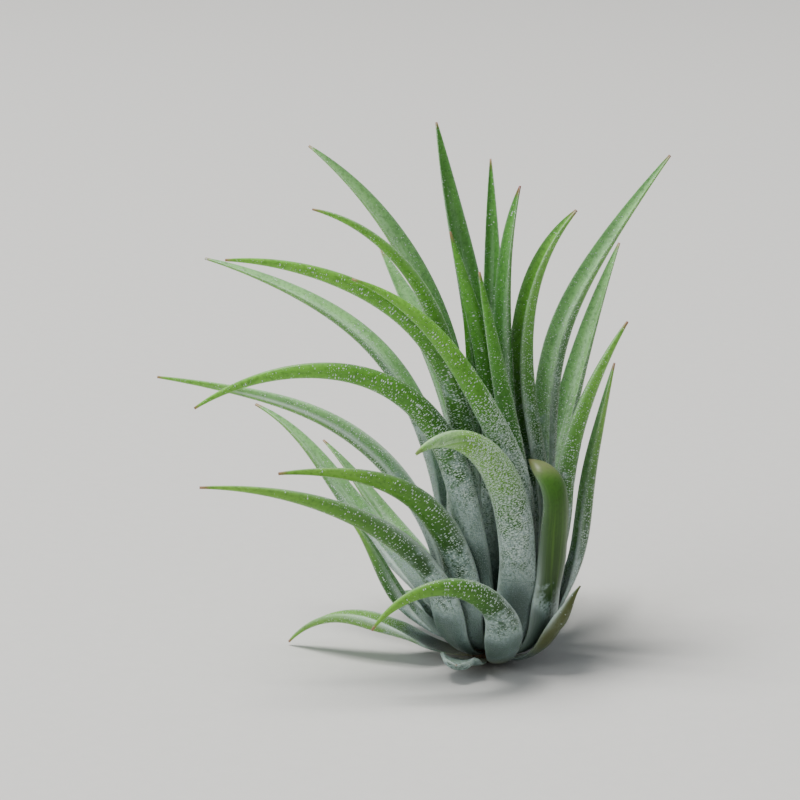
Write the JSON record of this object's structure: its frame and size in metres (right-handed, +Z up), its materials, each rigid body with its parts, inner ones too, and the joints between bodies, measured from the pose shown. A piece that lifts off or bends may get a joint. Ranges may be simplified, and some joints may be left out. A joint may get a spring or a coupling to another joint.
{
  "type": "tillandsia ionantha",
  "caption": "Small rootless air plant: pointed, channelled, silvery-scaled green leaves sheathe a short stem in a bulb and sweep over to one side.",
  "frame": {"origin": "middle of the stem's flat underside, on the surface that the plant rests on", "axes": "+Z up, along the longest extent; -Y is the plant's front; most leaves sweep toward -X"},
  "size_m": [0.0794, 0.0638, 0.0855],
  "materials": {
    "young_leaf": "bright mid green leaf skin, finely dotted with silvery scales, pink-brown at the tip",
    "grown_leaf": "mid green leaf skin, silvery with scales toward the base, pink-brown at the tip",
    "outer_leaf": "grey-green leaf skin, densely frosted with white scales toward the base",
    "stem": "dry brown woody stem, matt"
  },
  "bodies": {
    "root": {"back_leaf_1": "grown_leaf", "back_leaf_10": "outer_leaf", "back_leaf_2": "grown_leaf", "back_leaf_3": "grown_leaf", "back_leaf_4": "grown_leaf", "back_leaf_5": "outer_leaf", "back_leaf_6": "outer_leaf", "back_leaf_7": "outer_leaf", "back_leaf_8": "outer_leaf", "back_leaf_9": "outer_leaf", "front_leaf_1": "outer_leaf", "front_leaf_2": "outer_leaf", "front_leaf_3": "outer_leaf", "front_leaf_4": "outer_leaf", "heart_leaf_1": "young_leaf", "heart_leaf_2": "young_leaf", "left_leaf_1": "grown_leaf", "left_leaf_10": "outer_leaf", "left_leaf_11": "outer_leaf", "left_leaf_12": "outer_leaf", "left_leaf_13": "outer_leaf", "left_leaf_2": "grown_leaf", "left_leaf_3": "grown_leaf", "left_leaf_4": "grown_leaf", "left_leaf_5": "grown_leaf", "left_leaf_6": "grown_leaf", "left_leaf_7": "grown_leaf", "left_leaf_8": "grown_leaf", "left_leaf_9": "grown_leaf", "right_leaf_1": "grown_leaf", "right_leaf_2": "grown_leaf", "right_leaf_3": "grown_leaf", "right_leaf_4": "grown_leaf", "right_leaf_5": "grown_leaf", "right_leaf_6": "outer_leaf", "right_leaf_7": "outer_leaf", "stem": "stem", "upright_leaf_1": "young_leaf", "upright_leaf_2": "young_leaf", "upright_leaf_3": "young_leaf", "upright_leaf_4": "young_leaf", "upright_leaf_5": "young_leaf"}
  },
  "joints": []
}
